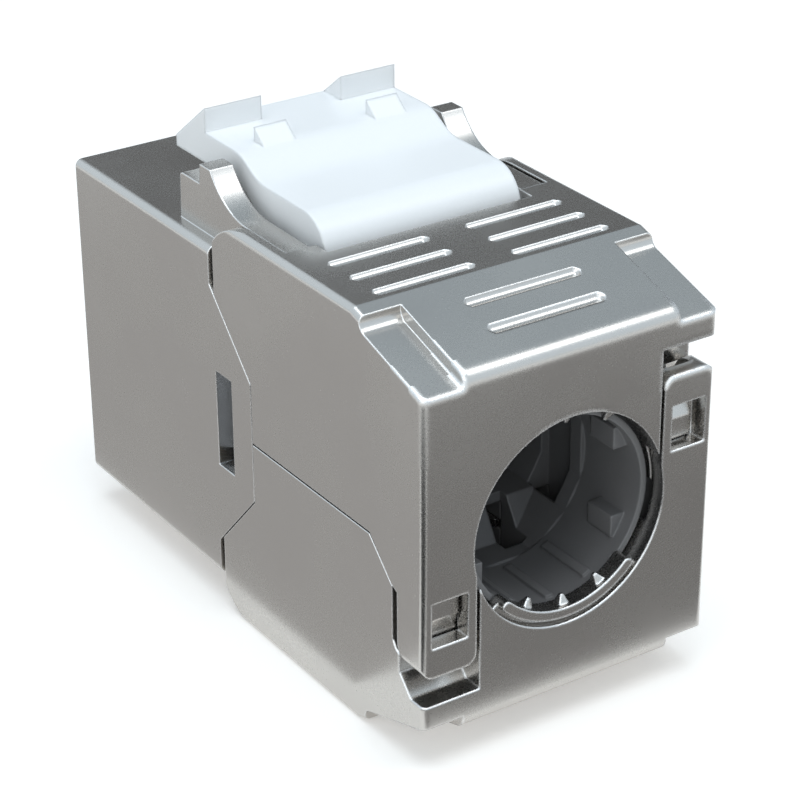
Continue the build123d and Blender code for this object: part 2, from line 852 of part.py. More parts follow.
# Lower shell: a toothed crescent in the cable entry, on a web with a slot round it
with BuildPart() as crescent_shell:
    add(shell_casting.part)
    with BuildSketch(cross_plane(overall_length - grip_setback)):
        add(grip_sector(grip_radius, grip_radius + grip_wall, grip_end_round))
    extrude(amount=grip_depth)
    with BuildSketch(cross_plane(overall_length - grip_setback - grip_depth + grip_web)):
        add(grip_sector(grip_radius + fit_gap, entry_radius + 2 * fit_gap, fit_gap))
    extrude(amount=grip_web)
    for tooth_angle in grip_tooth_angles:
        add(grip_tooth(tooth_angle, grip_radius + fit_gap, grip_tooth_height))

with BuildPart() as lower_shell:
    add(crescent_shell.part.rotate(Axis((0, 0, axis_z), (0, 1, 0)), 180))
lower_shell.part.label = "lower_shell"

# Contact comb: carries the port contacts and closes the back of the port
comb_rear = back_station + comb_back_length
comb_bottom_up = port_top_up
contact_columns = [
    (number - (contact_count - 1) / 2) * contact_pitch for number in range(contact_count)
]
slot_top_up = contact_run_up + contact_thickness / 2 + running_gap

with BuildPart() as contact_comb:
    with BuildSketch(cross_plane(port_lip + comb_front_gap)):
        with Locations((0, cavity_top_up - running_gap)):
            Rectangle(
                port_width - 4 * fit_gap,
                cavity_top_up - running_gap - comb_bottom_up,
                align=(Align.CENTER, Align.MAX),
            )
    extrude(amount=-(comb_rear - port_lip - comb_front_gap))
    with BuildSketch(cross_plane(back_station + running_gap)):
        Rectangle(
            2 * (carrier_half - carrier_wall - running_gap), 2 * (cavity_top_up - running_gap)
        )
    extrude(amount=-(comb_back_length - running_gap))
    for number, column in enumerate(contact_columns):
        stagger = contact_stagger * (number % 2)
        with BuildSketch(Plane.YZ.offset(column)):
            with Locations(at(contact_nose_station - 2 * contact_bend, comb_bottom_up - fit_gap)):
                Rectangle(
                    back_station - contact_nose_station + 2 * contact_bend + fit_gap,
                    slot_top_up - comb_bottom_up + fit_gap,
                    align=(Align.MIN, Align.MIN),
                )
            with Locations(at(back_station - 3 * contact_bend, contact_run_up - 2 * contact_thickness)):
                Rectangle(
                    comb_back_length + 3 * contact_bend + fit_gap,
                    3 * contact_thickness + stagger,
                    align=(Align.MIN, Align.MIN),
                )
        extrude(amount=comb_slot_width / 2, both=True, mode=Mode.SUBTRACT)
contact_comb.part.label = "contact_comb"

# Port contacts: each runs back through the comb and springs down into the port
board_front = comb_rear + running_gap
board_rear = board_front + board_thickness
port_contacts = []
for number, column in enumerate(contact_columns):
    stagger = contact_stagger * (number % 2)
    with BuildPart() as port_contact:
        with BuildSketch(Plane.YZ.offset(column)):
            with BuildLine() as contact_path:
                tail_up = contact_run_up + stagger
                bend_station = back_station - contact_bend
                points = [
                    at(contact_tip_station, contact_tip_up),
                    at(contact_nose_station, contact_run_up - 2 * contact_thickness),
                    at(contact_nose_station + contact_thickness, contact_run_up),
                    at(bend_station, contact_run_up),
                    at(bend_station + contact_bend, tail_up),
                    at(board_rear + solder_tail, tail_up),
                ]
                if stagger == 0:
                    points = points[:3] + points[-1:]
                Polyline(*points)
            trace(line_width=contact_thickness)
        extrude(amount=contact_width / 2, both=True)
    port_contact.part.label = f"port_contact_{number + 1}"
    port_contacts.append(port_contact.part)

# Circuit board with a hole for every tail
tail_places = [
    (column, contact_run_up + contact_stagger * (number % 2))
    for number, column in enumerate(contact_columns)
]
block_width = 2 * (carrier_half - carrier_wall - 2 * fit_gap)
block_height = 2 * (cavity_top_up - 2 * fit_gap)
terminal_outer_column = block_width / 2 - terminal_side
terminal_columns = [terminal_outer_column * share for share in (-1, -1 / 3, 1 / 3, 1)]
terminal_places = [(x, up) for up in (-terminal_row_up, terminal_row_up) for x in terminal_columns]
with BuildPart() as circuit_board:
    with BuildSketch(cross_plane(board_front)):
        Rectangle(
            2 * (carrier_half - carrier_wall - fit_gap), 2 * (cavity_top_up - fit_gap)
        )
        with Locations(*tail_places, *terminal_places):
            RegularPolygon(tail_hole_radius, 8, mode=Mode.SUBTRACT)
    extrude(amount=-board_thickness)
circuit_board.part.label = "circuit_board"

# Terminal block: a base behind the board with two rows that hold the forks
block_front = board_rear + solder_tail + running_gap
block_base_rear = block_front + block_base_length
block_rear = block_base_rear + block_row_length
blade_rear = block_rear - 2 * fit_gap
blade_front = blade_rear - terminal_blade_length
block_row_width = 2 * (terminal_outer_column + terminal_width / 2 + block_row_side)
with BuildPart() as terminal_block:
    with BuildSketch(cross_plane(block_front)):
        Rectangle(block_width, block_height)
    extrude(amount=-block_base_length)
    with BuildSketch(cross_plane(block_base_rear - fit_gap)):
        with Locations((0, -terminal_row_up), (0, terminal_row_up)):
            Rectangle(block_row_width, block_row_height)
    extrude(amount=-(block_row_length + fit_gap))
    # a blade slot, a tail hole and a wire channel for every fork
    with BuildSketch(cross_plane(blade_front - running_gap)):
        with Locations(*terminal_places):
            Rectangle(
                terminal_width + 2 * running_gap, terminal_thickness + 2 * running_gap
            )
    extrude(amount=-overall_length, mode=Mode.SUBTRACT)
    with BuildSketch(cross_plane(block_front)):
        with Locations(*terminal_places):
            Rectangle(2 * terminal_tail_width, terminal_thickness + 2 * running_gap)
    extrude(amount=-block_row_length, mode=Mode.SUBTRACT)
    with BuildSketch(Plane.XY.offset(axis_z)):
        with Locations(
            *[(x, front_y + block_rear - wire_channel_depth / 2) for x in terminal_columns]
        ):
            Rectangle(wire_channel_width, wire_channel_depth)
    extrude(amount=block_height, both=True, mode=Mode.SUBTRACT)
    outer_edges = terminal_block.faces().sort_by(Axis.Y)[-2:].edges().filter_by(Axis.X)
    chamfer(outer_edges, length=fit_gap)
terminal_block.part.label = "terminal_block"

# Forks that cut into the wires, four above and four below the axis
terminals = []
for number, (column, row_up) in enumerate(terminal_places):
    with BuildPart() as terminal:
        with BuildSketch(level_plane(row_up)):
            with BuildLine():
                half_slot = terminal_slot / 2
                half_mouth = terminal_slot_mouth / 2
                half_tail = terminal_tail_width / 2
                half_blade = terminal_width / 2
                slot_end = blade_rear - terminal_slot_depth
                right_side = Polyline(
                    (column, board_front + fit_gap),
                    (column + half_tail, board_front + fit_gap),
                    (column + half_tail, blade_front),
                    (column + half_blade, blade_front),
                    (column + half_blade, blade_rear - half_slot),
                    (column + half_blade - half_slot, blade_rear),
                    (column + half_mouth, blade_rear),
                    (column + half_slot, blade_rear - half_mouth),
                    (column + half_slot, slot_end),
                    (column, slot_end - half_slot),
                )
                mirror(right_side, about=Plane.YZ.offset(column))
            make_face()
        extrude(amount=terminal_thickness / 2, both=True)
    terminal.part.label = f"terminal_{number + 1}"
    terminals.append(terminal.part)

# Inside of the wire manager: a chamfered bore that narrows towards the terminal rows
manager_front = block_base_rear + running_gap
manager_rear = rear_inner - fit_gap
manager_width = 2 * (core_side - core_wall - fit_gap)
manager_height = block_height
row_pocket_rear = block_rear + running_gap
bore_length = manager_rear - row_pocket_rear
ramp_start = row_pocket_rear + bore_length * manager_row_wall_share
ramp_end = ramp_start + bore_length * manager_ramp_share
channel_rear = row_pocket_rear + bore_length * manager_channel_share
trough_front = row_pocket_rear + bore_length * manager_trough_share
bore_floor_up = bore_radius - fit_gap
with BuildPart() as manager_bore:
    with BuildSketch(cross_plane(manager_front + manager_front_wall)):
        with BuildLine():
            bore_flat = bore_chamfer_x - bore_chamfer_spread * (bore_floor_up - bore_chamfer_up)
            Polyline(
                (-bore_side, -bore_side_up),
                (-bore_chamfer_x, -bore_chamfer_up),
                (-bore_flat, -bore_floor_up),
                (bore_flat, -bore_floor_up),
                (bore_chamfer_x, -bore_chamfer_up),
                (bore_side, -bore_side_up),
                (bore_side, bore_side_up),
                (bore_chamfer_x, bore_chamfer_up),
                (bore_flat, bore_floor_up),
                (-bore_flat, bore_floor_up),
                (-bore_chamfer_x, bore_chamfer_up),
                (-bore_side, bore_side_up),
                close=True,
            )
        make_face()
    extrude(amount=-(trough_front - manager_front - manager_front_wall))
    with BuildSketch(Plane.YZ):
        with BuildLine():
            Polyline(
                at(manager_front + manager_front_wall, -manager_deep_up),
                at(ramp_start, -manager_deep_up),
                at(ramp_end, -bore_radius),
                at(overall_length, -bore_radius),
                at(overall_length, bore_radius),
                at(ramp_end, bore_radius),
                at(ramp_start, manager_deep_up),
                at(manager_front + manager_front_wall, manager_deep_up),
                close=True,
            )
        make_face()
    extrude(amount=half_width, both=True, mode=Mode.INTERSECT)

# Wire manager: a cap that pushes the wires into the forks and lines the cable entry
trough_rear = overall_length - grip_setback - grip_depth - running_gap
with BuildPart() as wire_manager:
    with BuildSketch(cross_plane(manager_front)):
        Rectangle(manager_width, manager_height)
    extrude(amount=-(manager_rear - manager_front))
    fillet(wire_manager.edges().filter_by(Axis.Y), radius=manager_round)
    # two corners give way to the full corners of the shells
    with BuildSketch(cross_plane(recess_front - core_wall - fit_gap)):
        for side in (-1, 1):
            with Locations((side * manager_width / 2, -side * manager_height / 2)):
                Rectangle(
                    manager_width - 2 * (notch_inner - core_wall - fit_gap),
                    manager_height - 2 * (recess_step_up - core_wall - fit_gap),
                )
    extrude(amount=-tab_depth, mode=Mode.SUBTRACT)
    # the lining runs on into the cable entry
    with BuildSketch(cross_plane(manager_rear - fit_gap)):
        Circle(bore_radius + trough_wall)
    extrude(amount=-(trough_rear - manager_rear + fit_gap))
    add(manager_bore.part, mode=Mode.SUBTRACT)
    with BuildSketch(cross_plane(trough_front)):
        Circle(bore_radius)
    extrude(amount=-overall_length, mode=Mode.SUBTRACT)
    # pockets for the terminal rows and channels for the wires
    with BuildSketch(cross_plane(manager_front)):
        with Locations((0, -terminal_row_up), (0, terminal_row_up)):
            Rectangle(
                block_row_width + 2 * running_gap, block_row_height + 2 * running_gap
            )
    extrude(amount=-(row_pocket_rear - manager_front), mode=Mode.SUBTRACT)
    with BuildSketch(Plane.XY.offset(axis_z)):
        with Locations(
            *[(x, front_y + row_pocket_rear - fit_gap) for x in terminal_columns]
        ):
            Rectangle(
                wire_channel_width,
                channel_rear - row_pocket_rear + fit_gap,
                align=(Align.CENTER, Align.MIN),
            )
    extrude(amount=manager_height, both=True, mode=Mode.SUBTRACT)
    # raised ribs along the trough and a side block beside each of its edges
    for rib_angle in (*grip_tooth_angles, *[180 + angle for angle in grip_tooth_angles]):
        lean = math.radians(rib_angle)
        rib_plane = Plane(
            origin=(bore_radius * math.sin(lean), front_y, axis_z - bore_radius * math.cos(lean)),
            x_dir=(0, 1, 0),
            z_dir=(math.sin(lean), 0, -math.cos(lean)),
        )
        with BuildSketch(rib_plane.offset(-rib_height)):
            with Locations((trough_front + rib_width, 0)):
                Rectangle(
                    trough_rear - trough_front - rib_width - side_block_depth,
                    rib_width,
                    align=(Align.MIN, Align.CENTER),
                )
        extrude(amount=rib_height + trough_wall / 2)
    with BuildSketch(cross_plane(manager_rear - side_block_length)):
        for side in (-1, 1):
            for level in (-1, 1):
                with Locations(
                    (
                        side * (bore_chamfer_x + side_block_depth),
                        level * (bore_chamfer_up + bore_side_up) / 2,
                    )
                ):
                    Rectangle(2 * side_block_depth, side_block_height)
    extrude(amount=-side_block_length)
wire_manager.part.label = "wire_manager"

# Shield springs: strips in the port's side walls, with a tail that shows in the window
spring_middle = port_width / 2 + shield_pocket_depth / 2
spring_front = port_lip + 2 * fit_gap
bow_front = spring_front + shield_spring_lead
bow_rear = bow_front + 2 * shield_spring_rise + shield_spring_crown
spring_tail_start = housing_length + side_window_setback
spring_tail_bend = spring_tail_start + shield_spring_tail_bend
with BuildPart() as shield_spring_right:
    with BuildSketch(Plane.XY.offset(axis_z)):
        with BuildLine():
            Polyline(
                (spring_middle, front_y + spring_front),
                (spring_middle, front_y + bow_front),
                (spring_middle - shield_spring_bow, front_y + bow_front + shield_spring_rise),
                (spring_middle - shield_spring_bow, front_y + bow_rear - shield_spring_rise),
                (spring_middle, front_y + bow_rear),
                (spring_middle, front_y + spring_tail_start),
                (spring_middle + shield_spring_tail, front_y + spring_tail_bend),
                (spring_middle + shield_spring_tail, front_y + spring_tail_bend + shield_spring_tail_flat),
            )
        trace(line_width=shield_spring_thickness)
    extrude(amount=shield_spring_width / 2, both=True)
shield_spring_right.part.label = "shield_spring_right"

with BuildPart() as shield_spring_left:
    add(shield_spring_right.part)
    mirror(about=Plane.YZ, mode=Mode.REPLACE)
shield_spring_left.part.label = "shield_spring_left"

os.makedirs("parts", exist_ok=True)
export_step(front_housing.part, "parts/front_housing.step")
export_step(keystone_latch.part, "parts/keystone_latch.step")
export_step(upper_shell.part, "parts/upper_shell.step")
export_step(lower_shell.part, "parts/lower_shell.step")
export_step(contact_comb.part, "parts/contact_comb.step")
export_step(circuit_board.part, "parts/circuit_board.step")
export_step(terminal_block.part, "parts/terminal_block.step")
export_step(wire_manager.part, "parts/wire_manager.step")
export_step(shield_spring_left.part, "parts/shield_spring_left.step")
export_step(shield_spring_right.part, "parts/shield_spring_right.step")
for piece in port_contacts:
    export_step(piece, f"parts/{piece.label}.step")
for piece in terminals:
    export_step(piece, f"parts/{piece.label}.step")
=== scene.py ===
import logging
import math
from dataclasses import dataclass
from enum import Enum

import bpy
from mathutils import Euler, Matrix, Vector

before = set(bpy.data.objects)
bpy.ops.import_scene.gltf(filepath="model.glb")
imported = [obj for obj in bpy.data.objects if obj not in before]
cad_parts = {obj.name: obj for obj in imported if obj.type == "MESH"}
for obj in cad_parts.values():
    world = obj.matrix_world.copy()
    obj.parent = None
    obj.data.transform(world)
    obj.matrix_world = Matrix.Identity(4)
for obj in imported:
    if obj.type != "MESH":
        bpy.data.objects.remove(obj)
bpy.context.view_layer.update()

# Lengths are in metres, in the frame's own axes.
LOG = logging.getLogger("keystone_jack")

Colour = tuple[float, float, float]
Place = tuple[float, float, float]
Socket = bpy.types.NodeSocket
Tree = bpy.types.NodeTree
Node = bpy.types.Node
Material = bpy.types.Material

WHITE = (1.0, 1.0, 1.0)
BLACK = (0.0, 0.0, 0.0)
JACK_MIDDLE = Vector((0.0, 0.0, 0.01))
BEVEL_SAMPLES = 12
FINE_SHARE, CLOUD_SHARE = 0.35, 0.65
FINE_DETAIL, CLOUD_DETAIL = 2.0, 3.0
# Range of the grain's value that the colour and the gloss are spread over
GRAIN_LOW, GRAIN_HIGH = 0.3, 0.7
# Places of the colour sockets on a Mix node
MIX_FIRST, MIX_SECOND, MIX_RESULT = 6, 7, 2


class GroupOutput(Enum):
    """Sockets that the shared shader groups put out."""

    NORMAL = "Normal"
    MASK = "Mask"
    VALUE = "Value"
    HEIGHT = "Height"


class Stance(Enum):
    """How a card stands in the studio."""

    FACING = "facing the jack"
    LEVEL = "flat on the floor"


def new_group(name: str, inputs: dict[str, float], outputs: dict[GroupOutput, str]) -> Tree:
    """Starts a shader node group with named sockets.

    Args:
        name: the group's name.
        inputs: default value of each float input, by socket name.
        outputs: socket type of each output.

    Returns:
        The group, with its input and output nodes placed.
    """
    tree = bpy.data.node_groups.new(name, "ShaderNodeTree")
    for socket_name, value in inputs.items():
        socket = tree.interface.new_socket(socket_name, in_out="INPUT", socket_type="NodeSocketFloat")
        socket.default_value = value
    for output, kind in outputs.items():
        tree.interface.new_socket(output.value, in_out="OUTPUT", socket_type=kind)
    tree.nodes.new("NodeGroupInput").name = "In"
    tree.nodes.new("NodeGroupOutput").name = "Out"
    return tree


def math_node(tree: Tree, operation: str, first: "Socket | float", second: "Socket | float") -> Socket:
    """Adds a Math node and gives its result.

    Args:
        tree: the tree to add it to.
        operation: the node's operation, such as MULTIPLY.
        first: a socket or a number for the first input.
        second: a socket or a number for the second input.

    Returns:
        The node's output socket.
    """
    node = tree.nodes.new("ShaderNodeMath")
    node.operation = operation
    for socket, value in zip(node.inputs, (first, second)):
        if isinstance(value, Socket):
            tree.links.new(value, socket)
        else:
            socket.default_value = value
    return node.outputs[0]


def switched(tree: Tree, usual: Socket, other: Socket, switch: Socket) -> Socket:
    """Gives one number where a switch is 0 and another where it is 1.

    Args:
        tree: the tree to add the nodes to.
        usual: the number where the switch is 0.
        other: the number where the switch is 1.
        switch: a socket that is 0 or 1.

    Returns:
        The socket that carries the number.
    """
    change = math_node(tree, "SUBTRACT", other, usual)
    return math_node(tree, "ADD", usual, math_node(tree, "MULTIPLY", switch, change))


def soft_edges_group() -> Tree:
    """Builds the group that rounds sharp edges in the shading and marks where they are, which is where the
    finishes paint a highlight.

    Rear Radius holds behind Rear Start. Top Radius holds on the brink, which is behind Brink Start and above
    Top Start.

    Returns:
        A group with the outputs Normal and Mask.
    """
    tree = new_group(
        "soft_edges",
        {
            "Radius": 0.0001,
            "Rear Radius": 0.0002,
            "Rear Start": 0.012,
            "Top Radius": 0.0002,
            "Top Start": 0.0141,
            "Brink Start": 0.01325,
            "Spread": 6.0,
        },
        {GroupOutput.NORMAL: "NodeSocketVector", GroupOutput.MASK: "NodeSocketFloat"},
    )
    given, result = tree.nodes["In"].outputs, tree.nodes["Out"].inputs
    place = tree.nodes.new("ShaderNodeTexCoord")
    axes = tree.nodes.new("ShaderNodeSeparateXYZ")
    tree.links.new(place.outputs["Object"], axes.inputs[0])
    at_rear = math_node(tree, "GREATER_THAN", axes.outputs["Y"], given["Rear Start"])
    past_brink = math_node(tree, "GREATER_THAN", axes.outputs["Y"], given["Brink Start"])
    on_top = math_node(tree, "GREATER_THAN", axes.outputs["Z"], given["Top Start"])
    at_brink = math_node(tree, "MULTIPLY", past_brink, on_top)
    radius = switched(tree, given["Radius"], given["Rear Radius"], at_rear)
    radius = switched(tree, radius, given["Top Radius"], at_brink)
    rounded = tree.nodes.new("ShaderNodeBevel")
    rounded.samples = BEVEL_SAMPLES
    tree.links.new(radius, rounded.inputs["Radius"])
    geometry = tree.nodes.new("ShaderNodeNewGeometry")
    likeness = tree.nodes.new("ShaderNodeVectorMath")
    likeness.operation = "DOT_PRODUCT"
    tree.links.new(rounded.outputs["Normal"], likeness.inputs[0])
    tree.links.new(geometry.outputs["Normal"], likeness.inputs[1])
    turned = math_node(tree, "SUBTRACT", 1.0, likeness.outputs["Value"])
    spread = math_node(tree, "MULTIPLY", turned, given["Spread"])
    mask = math_node(tree, "MINIMUM", math_node(tree, "MAXIMUM", spread, 0.0), 1.0)
    tree.links.new(rounded.outputs["Normal"], result[GroupOutput.NORMAL.value])
    tree.links.new(mask, result[GroupOutput.MASK.value])
    return tree


def fine_grain_group() -> Tree:
    """Builds the group for the fine unevenness of cast, moulded and plated surfaces.

    Returns:
        A group with the inputs Size and Clouding and the outputs Value, which is about 0.5, and Height.
    """
    tree = new_group(
        "fine_grain",
        {"Size": 0.00012, "Clouding": 0.004},
        {GroupOutput.VALUE: "NodeSocketFloat", GroupOutput.HEIGHT: "NodeSocketFloat"},
    )
    given, result = tree.nodes["In"].outputs, tree.nodes["Out"].inputs
    place = tree.nodes.new("ShaderNodeTexCoord")
    readings = []
    for size_name, detail in (("Size", FINE_DETAIL), ("Clouding", CLOUD_DETAIL)):
        noise = tree.nodes.new("ShaderNodeTexNoise")
        noise.inputs["Detail"].default_value = detail
        tree.links.new(place.outputs["Object"], noise.inputs["Vector"])
        tree.links.new(math_node(tree, "DIVIDE", 1.0, given[size_name]), noise.inputs["Scale"])
        readings.append(noise.outputs["Fac"])
    fine = math_node(tree, "MULTIPLY", readings[0], FINE_SHARE)
    cloud = math_node(tree, "MULTIPLY", readings[1], CLOUD_SHARE)
    tree.links.new(math_node(tree, "ADD", fine, cloud), result[GroupOutput.VALUE.value])
    tree.links.new(readings[0], result[GroupOutput.HEIGHT.value])
    return tree


@dataclass(frozen=True)
class Groups:
    """The shader groups that the finishes share."""

    soft_edges: Tree
    fine_grain: Tree

    @staticmethod
    def build() -> "Groups":
        """Builds every shared group once."""
        return Groups(soft_edges_group(), fine_grain_group())


@dataclass(frozen=True)
class Finish:
    """A surface: its colour, gloss, grain, its rounded edges and the painted highlight along them."""

    name: str
    colour: Colour
    # Lighter colour along the edges: a painted highlight
    edge_highlight_colour: Colour
    metallic: float
    roughness: float
    roughness_change: float
    colour_change: float
    grain: float
    clouding: float
    grain_depth: float
    edge_radius: float
    rear_edge_radius: float
    top_edge_radius: float = 0.0002

    def material(self, groups: Groups) -> Material:
        """Builds the finish as a material.

        Args:
            groups: the shared shader groups.

        Returns:
            The new material.
        """
        made = bpy.data.materials.new(self.name)
        made.use_nodes = True
        tree = made.node_tree
        shader = tree.nodes["Principled BSDF"]
        shader.inputs["Metallic"].default_value = self.metallic
        edges = tree.nodes.new("ShaderNodeGroup")
        edges.node_tree = groups.soft_edges
        edges.inputs["Radius"].default_value = self.edge_radius
        edges.inputs["Rear Radius"].default_value = self.rear_edge_radius
        edges.inputs["Top Radius"].default_value = self.top_edge_radius
        grain = tree.nodes.new("ShaderNodeGroup")
        grain.node_tree = groups.fine_grain
        grain.inputs["Size"].default_value = self.grain
        grain.inputs["Clouding"].default_value = self.clouding
        self._feed_colour(tree, shader, edges, grain)
        self._feed_gloss(tree, shader, grain)
        self._feed_normal(tree, shader, edges, grain)
        return made

    def _feed_colour(self, tree: Tree, shader: Node, edges: Node, grain: Node) -> None:
        """Feeds Base Color: a clouded colour that turns to a lighter edge colour along the edges, a painted
        highlight.

        Args:
            tree: the material's nodes.
            shader: the material's shader.
            edges: the soft_edges group's node.
            grain: the fine_grain group's node.
        """
        ramp = tree.nodes.new("ShaderNodeValToRGB")
        darker, lighter = ramp.color_ramp.elements
        darker.position, lighter.position = GRAIN_LOW, GRAIN_HIGH
        darker.color = (*[level * (1 - self.colour_change) for level in self.colour], 1.0)
        lighter.color = (*[min(1.0, level * (1 + self.colour_change)) for level in self.colour], 1.0)
        tree.links.new(grain.outputs[GroupOutput.VALUE.value], ramp.inputs["Fac"])
        # Along the edges the colour turns lighter: a painted highlight
        mix = tree.nodes.new("ShaderNodeMix")
        mix.data_type = "RGBA"
        mix.inputs[MIX_SECOND].default_value = (*self.edge_highlight_colour, 1.0)
        tree.links.new(edges.outputs[GroupOutput.MASK.value], mix.inputs["Factor"])
        tree.links.new(ramp.outputs["Color"], mix.inputs[MIX_FIRST])
        tree.links.new(mix.outputs[MIX_RESULT], shader.inputs["Base Color"])

    def _feed_gloss(self, tree: Tree, shader: Node, grain: Node) -> None:
        """Feeds Roughness with the clouding, so that the gloss isn't even.

        Args:
            tree: the material's nodes.
            shader: the material's shader.
            grain: the fine_grain group's node.
        """
        span = tree.nodes.new("ShaderNodeMapRange")
        span.inputs["From Min"].default_value = GRAIN_LOW
        span.inputs["From Max"].default_value = GRAIN_HIGH
        span.inputs["To Min"].default_value = self.roughness - self.roughness_change
        span.inputs["To Max"].default_value = self.roughness + self.roughness_change
        tree.links.new(grain.outputs[GroupOutput.VALUE.value], span.inputs["Value"])
        tree.links.new(span.outputs["Result"], shader.inputs["Roughness"])

    def _feed_normal(self, tree: Tree, shader: Node, edges: Node, grain: Node) -> None:
        """Feeds Normal with the soft edges and the grain's relief.

        Args:
            tree: the material's nodes.
            shader: the material's shader.
            edges: the soft_edges group's node.
            grain: the fine_grain group's node.
        """
        bump = tree.nodes.new("ShaderNodeBump")
        bump.inputs["Strength"].default_value = 1.0
        bump.inputs["Distance"].default_value = self.grain_depth
        tree.links.new(grain.outputs[GroupOutput.HEIGHT.value], bump.inputs["Height"])
        tree.links.new(edges.outputs[GroupOutput.NORMAL.value], bump.inputs["Normal"])
        tree.links.new(bump.outputs["Normal"], shader.inputs["Normal"])


# Each finish's edge colour is lighter than its colour: a painted highlight along the edges.
CAST_METAL = Finish(
    name="nickel_plated_casting",
    colour=(0.56, 0.54, 0.515),
    edge_highlight_colour=(0.72, 0.71, 0.7),
    metallic=1.0,
    roughness=0.27,
    roughness_change=0.03,
    colour_change=0.03,
    grain=0.00009,
    clouding=0.006,
    grain_depth=0.00000003,
    edge_radius=0.0001,
    rear_edge_radius=0.0002,
    top_edge_radius=0.00045,
)
LATCH_PLASTIC = Finish(
    name="white_latch_plastic",
    colour=(0.87, 0.885, 0.89),
    edge_highlight_colour=(0.93, 0.945, 0.95),
    metallic=0.0,
    roughness=0.36,
    roughness_change=0.04,
    colour_change=0.012,
    grain=0.00015,
    clouding=0.005,
    grain_depth=0.000002,
    edge_radius=0.0002,
    rear_edge_radius=0.0002,
)
INNER_PLASTIC = Finish(
    name="charcoal_inner_plastic",
    colour=(0.165, 0.163, 0.165),
    edge_highlight_colour=(0.19, 0.188, 0.19),
    metallic=0.0,
    roughness=0.45,
    roughness_change=0.06,
    colour_change=0.06,
    grain=0.00014,
    clouding=0.003,
    grain_depth=0.000003,
    edge_radius=0.00015,
    rear_edge_radius=0.00015,
)
CONTACT_GOLD = Finish(
    name="gold_flash",
    colour=(0.83, 0.6, 0.24),
    edge_highlight_colour=(0.95, 0.76, 0.4),
    metallic=1.0,
    roughness=0.2,
    roughness_change=0.04,
    colour_change=0.03,
    grain=0.00006,
    clouding=0.002,
    grain_depth=0.0000008,
    edge_radius=0.00006,
    rear_edge_radius=0.00006,
)
TERMINAL_METAL = Finish(
    name="tinned_fork_metal",
    colour=(0.6, 0.58, 0.54),
    edge_highlight_colour=(0.75, 0.74, 0.72),
    metallic=1.0,
    roughness=0.28,
    roughness_change=0.05,
    colour_change=0.05,
    grain=0.00008,
    clouding=0.001,
    grain_depth=0.000001,
    edge_radius=0.00006,
    rear_edge_radius=0.00006,
)
BOARD = Finish(
    name="solder_mask",
    colour=(0.02, 0.11, 0.05),
    edge_highlight_colour=(0.3, 0.32, 0.2),
    metallic=0.0,
    roughness=0.3,
    roughness_change=0.05,
    colour_change=0.12,
    grain=0.0002,
    clouding=0.0015,
    grain_depth=0.000003,
    edge_radius=0.00008,
    rear_edge_radius=0.00008,
)
SPRING_METAL = Finish(
    name="spring_strip",
    colour=(0.4, 0.44, 0.49),
    edge_highlight_colour=(0.6, 0.64, 0.7),
    metallic=1.0,
    roughness=0.24,
    roughness_change=0.04,
    colour_change=0.05,
    grain=0.00008,
    clouding=0.002,
    grain_depth=0.0000008,
    edge_radius=0.00006,
    rear_edge_radius=0.00006,
)


@dataclass(frozen=True)
class SubAssembly:
    """Pieces that share a finish and belong together in the jack."""

    title: str
    node_names: tuple[str, ...]
    finish: Finish

    def dress(self, groups: Groups) -> int:
        """Gives every node of the sub-assembly its finish.

        Args:
            groups: the shared shader groups.

        Returns:
            How many nodes were dressed.
        """
        material = self.finish.material(groups)
        for name in self.node_names:
            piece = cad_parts[name]
            piece.data.materials.clear()
            piece.data.materials.append(material)
            LOG.info("%s: %s in %s", self.title, name, self.finish.name)
        return len(self.node_names)


def numbered(name: str, count: int = 8) -> tuple[str, ...]:
    """Gives the node names of a row of like pieces, numbered from 1."""
    return tuple(f"{name}_{number}" for number in range(1, count + 1))


SUB_ASSEMBLIES = (
    SubAssembly("castings", ("front_housing", "upper_shell", "lower_shell"), CAST_METAL),
    SubAssembly("latch", ("keystone_latch",), LATCH_PLASTIC),
    SubAssembly("inner mouldings", ("contact_comb", "terminal_block", "wire_manager"), INNER_PLASTIC),
    SubAssembly("port contacts", numbered("port_contact"), CONTACT_GOLD),
    SubAssembly("terminals", numbered("terminal"), TERMINAL_METAL),
    SubAssembly("board", ("circuit_board",), BOARD),
    SubAssembly("shield springs", ("shield_spring_left", "shield_spring_right"), SPRING_METAL),
)


def put_in_scene(name: str, data: bpy.types.ID) -> bpy.types.Object:
    """Makes an object of a mesh, a lamp or a camera and links it to the scene.

    Args:
        name: the object's name.
        data: what it shows.

    Returns:
        The new object.
    """
    thing = bpy.data.objects.new(name, data)
    bpy.context.scene.collection.objects.link(thing)
    return thing


def towards_jack(place: Place, axis: str) -> Euler:
    """Gives the turn that points an axis of something at the middle of the jack.

    Args:
        place: where it stands.
        axis: the axis that points at the jack, such as -Z.

    Returns:
        The turn.
    """
    return (JACK_MIDDLE - Vector(place)).to_track_quat(axis, "Y").to_euler()


def matt_material(name: str, colour: Colour, glow_colour: Colour) -> tuple[Material, Node]:
    """Starts a material for the studio, with no sheen.

    Args:
        name: the material's name.
        colour: its colour in the light.
        glow_colour: the colour of its own light.

    Returns:
        The material and its shader.
    """
    made = bpy.data.materials.new(name)
    made.use_nodes = True
    shader = made.node_tree.nodes["Principled BSDF"]
    shader.inputs["Base Color"].default_value = (*colour, 1.0)
    shader.inputs["Specular IOR Level"].default_value = 0.0
    shader.inputs["Emission Color"].default_value = (*glow_colour, 1.0)
    return made, shader


def seen_ray(tree: Tree) -> Socket:
    """Gives a socket that is 1 for camera, glossy and transmission rays and 0 for others.

    Args:
        tree: the tree to add the nodes to.

    Returns:
        The socket.
    """
    path = tree.nodes.new("ShaderNodeLightPath")
    seen = math_node(tree, "MAXIMUM", path.outputs["Is Camera Ray"], path.outputs["Is Glossy Ray"])
    return math_node(tree, "MAXIMUM", seen, path.outputs["Is Transmission Ray"])


